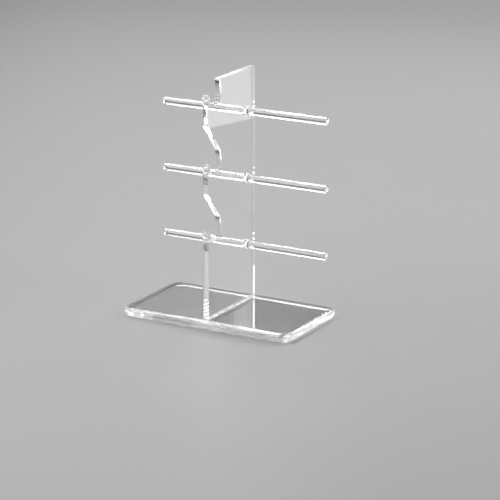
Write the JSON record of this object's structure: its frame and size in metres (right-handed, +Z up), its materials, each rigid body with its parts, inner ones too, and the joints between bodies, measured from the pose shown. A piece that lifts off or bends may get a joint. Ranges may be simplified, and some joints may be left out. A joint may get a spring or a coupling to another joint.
{
  "type": "eyeglasses display stand",
  "caption": "Clear acrylic eyewear stand: a flat base, an upright panel with hooks cut in its front edge for the bridge, and cross rods for the temples.",
  "frame": {"origin": "middle of the base plate's underside, on the surface that the stand rests on", "axes": "+X along the cross rods and the base's length, +Y towards the back, away from the hooks, +Z up"},
  "size_m": [0.154, 0.086, 0.2],
  "materials": {
    "clear_acrylic_slab": "clear, polished faces and a rounded, polished edge",
    "clear_acrylic_sheet": "clear, polished faces, flame-polished edges",
    "clear_acrylic_rod": "clear, polished"
  },
  "bodies": {
    "root": {"base_plate": "clear_acrylic_slab", "upright_panel": "clear_acrylic_sheet", "rod_top": "clear_acrylic_rod", "rod_middle": "clear_acrylic_rod", "rod_bottom": "clear_acrylic_rod"}
  },
  "joints": []
}
